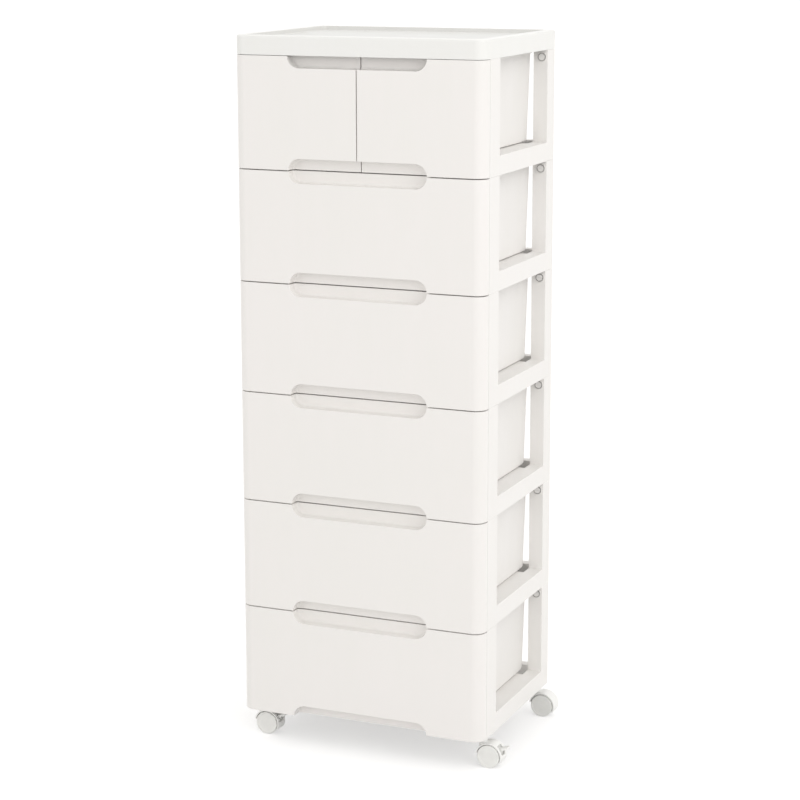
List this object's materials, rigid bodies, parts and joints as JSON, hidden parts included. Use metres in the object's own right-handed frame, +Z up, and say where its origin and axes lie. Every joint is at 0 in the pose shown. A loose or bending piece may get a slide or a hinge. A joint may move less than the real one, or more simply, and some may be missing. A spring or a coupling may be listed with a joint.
{
  "type": "plastic drawer tower",
  "caption": "Tall free-standing tower of stacked plastic frames with sliding storage drawers, a split top drawer, a tray lid and swivel casters.",
  "frame": {"origin": "on the floor, under the middle of the tower's bounding box (the middle of its footprint); the caster brake levers shift that box 4.4 mm to +X", "axes": "+X to the right seen from the front, +Y to the back (drawers open toward -Y), +Z up"},
  "size_m": [0.4489, 0.306, 1.098],
  "materials": {
    "front_plastic": "warm white moulded polypropylene with a soft satin sheen",
    "frame_plastic": "white moulded polypropylene, fine satin grain",
    "bin_plastic": "white moulded polypropylene, slightly translucent look, satin",
    "screw_plastic": "white moulded plastic",
    "caster_plastic": "white moulded nylon, semi-gloss",
    "wheel_plastic": "light grey moulded wheel, satin",
    "steel": "zinc plated steel"
  },
  "bodies": {
    "tower": {"lid": "front_plastic", "tier_frame_1": "frame_plastic", "tier_frame_2": "frame_plastic", "tier_frame_3": "frame_plastic", "tier_frame_4": "frame_plastic", "tier_frame_5": "frame_plastic", "base_frame": "frame_plastic", "centre_runner": "frame_plastic", "lock_screws": "screw_plastic", "caster_stems": "steel"},
    "drawer_1_left": {"drawer_front_1_left": "front_plastic", "drawer_bin_1_left": "bin_plastic"},
    "drawer_1_right": {"drawer_front_1_right": "front_plastic", "drawer_bin_1_right": "bin_plastic"},
    "drawer_2": {"drawer_front_2": "front_plastic", "drawer_bin_2": "bin_plastic"},
    "drawer_3": {"drawer_front_3": "front_plastic", "drawer_bin_3": "bin_plastic"},
    "drawer_4": {"drawer_front_4": "front_plastic", "drawer_bin_4": "bin_plastic"},
    "drawer_5": {"drawer_front_5": "front_plastic", "drawer_bin_5": "bin_plastic"},
    "drawer_6": {"drawer_front_6": "front_plastic", "drawer_bin_6": "bin_plastic"},
    "caster_front_left": {"caster_hood_front_left": "caster_plastic", "caster_axle_front_left": "steel"},
    "wheel_a_front_left": {"wheel_a_front_left": "wheel_plastic"},
    "wheel_b_front_left": {"wheel_b_front_left": "wheel_plastic"},
    "brake_lever_front_left": {"brake_lever_front_left": "caster_plastic"},
    "caster_front_right": {"caster_hood_front_right": "caster_plastic", "caster_axle_front_right": "steel"},
    "wheel_a_front_right": {"wheel_a_front_right": "wheel_plastic"},
    "wheel_b_front_right": {"wheel_b_front_right": "wheel_plastic"},
    "brake_lever_front_right": {"brake_lever_front_right": "caster_plastic"},
    "caster_rear_left": {"caster_hood_rear_left": "caster_plastic", "caster_axle_rear_left": "steel"},
    "wheel_a_rear_left": {"wheel_a_rear_left": "wheel_plastic"},
    "wheel_b_rear_left": {"wheel_b_rear_left": "wheel_plastic"},
    "caster_rear_right": {"caster_hood_rear_right": "caster_plastic", "caster_axle_rear_right": "steel"},
    "wheel_a_rear_right": {"wheel_a_rear_right": "wheel_plastic"},
    "wheel_b_rear_right": {"wheel_b_rear_right": "wheel_plastic"}
  },
  "joints": [
    {"name": "drawer_1_left_slide", "type": "slide", "parent": "tower", "child": "drawer_1_left", "axis": [0, -1, 0], "range_m": [0, 0.19]},
    {"name": "drawer_1_right_slide", "type": "slide", "parent": "tower", "child": "drawer_1_right", "axis": [0, -1, 0], "range_m": [0, 0.19]},
    {"name": "drawer_2_slide", "type": "slide", "parent": "tower", "child": "drawer_2", "axis": [0, -1, 0], "range_m": [0, 0.19]},
    {"name": "drawer_3_slide", "type": "slide", "parent": "tower", "child": "drawer_3", "axis": [0, -1, 0], "range_m": [0, 0.19]},
    {"name": "drawer_4_slide", "type": "slide", "parent": "tower", "child": "drawer_4", "axis": [0, -1, 0], "range_m": [0, 0.19]},
    {"name": "drawer_5_slide", "type": "slide", "parent": "tower", "child": "drawer_5", "axis": [0, -1, 0], "range_m": [0, 0.19]},
    {"name": "drawer_6_slide", "type": "slide", "parent": "tower", "child": "drawer_6", "axis": [0, -1, 0], "range_m": [0, 0.19]},
    {"name": "caster_front_left_swivel", "type": "hinge", "parent": "tower", "child": "caster_front_left", "pos_m": [-0.187, -0.109, 0.04], "axis": [0, 0, 1], "continuous": true},
    {"name": "wheel_a_front_left_spin", "type": "hinge", "parent": "caster_front_left", "child": "wheel_a_front_left", "pos_m": [-0.175, -0.109, 0.018], "axis": [0, 1, 0], "continuous": true},
    {"name": "wheel_b_front_left_spin", "type": "hinge", "parent": "caster_front_left", "child": "wheel_b_front_left", "pos_m": [-0.175, -0.109, 0.018], "axis": [0, 1, 0], "continuous": true},
    {"name": "brake_lever_front_left_press", "type": "hinge", "parent": "caster_front_left", "child": "brake_lever_front_left", "pos_m": [-0.16313, -0.109, 0.02796], "axis": [0, 1, 0], "range_deg": [0, 25]},
    {"name": "caster_front_right_swivel", "type": "hinge", "parent": "tower", "child": "caster_front_right", "pos_m": [0.187, -0.109, 0.04], "axis": [0, 0, 1], "continuous": true},
    {"name": "wheel_a_front_right_spin", "type": "hinge", "parent": "caster_front_right", "child": "wheel_a_front_right", "pos_m": [0.199, -0.109, 0.018], "axis": [0, 1, 0], "continuous": true},
    {"name": "wheel_b_front_right_spin", "type": "hinge", "parent": "caster_front_right", "child": "wheel_b_front_right", "pos_m": [0.199, -0.109, 0.018], "axis": [0, 1, 0], "continuous": true},
    {"name": "brake_lever_front_right_press", "type": "hinge", "parent": "caster_front_right", "child": "brake_lever_front_right", "pos_m": [0.21087, -0.109, 0.02796], "axis": [0, 1, 0], "range_deg": [0, 25]},
    {"name": "caster_rear_left_swivel", "type": "hinge", "parent": "tower", "child": "caster_rear_left", "pos_m": [-0.187, 0.133, 0.04], "axis": [0, 0, 1], "continuous": true},
    {"name": "wheel_a_rear_left_spin", "type": "hinge", "parent": "caster_rear_left", "child": "wheel_a_rear_left", "pos_m": [-0.199, 0.133, 0.018], "axis": [0, 1, 0], "continuous": true},
    {"name": "wheel_b_rear_left_spin", "type": "hinge", "parent": "caster_rear_left", "child": "wheel_b_rear_left", "pos_m": [-0.199, 0.133, 0.018], "axis": [0, 1, 0], "continuous": true},
    {"name": "caster_rear_right_swivel", "type": "hinge", "parent": "tower", "child": "caster_rear_right", "pos_m": [0.187, 0.133, 0.04], "axis": [0, 0, 1], "continuous": true},
    {"name": "wheel_a_rear_right_spin", "type": "hinge", "parent": "caster_rear_right", "child": "wheel_a_rear_right", "pos_m": [0.199, 0.133, 0.018], "axis": [0, 1, 0], "continuous": true},
    {"name": "wheel_b_rear_right_spin", "type": "hinge", "parent": "caster_rear_right", "child": "wheel_b_rear_right", "pos_m": [0.199, 0.133, 0.018], "axis": [0, 1, 0], "continuous": true}
  ]
}
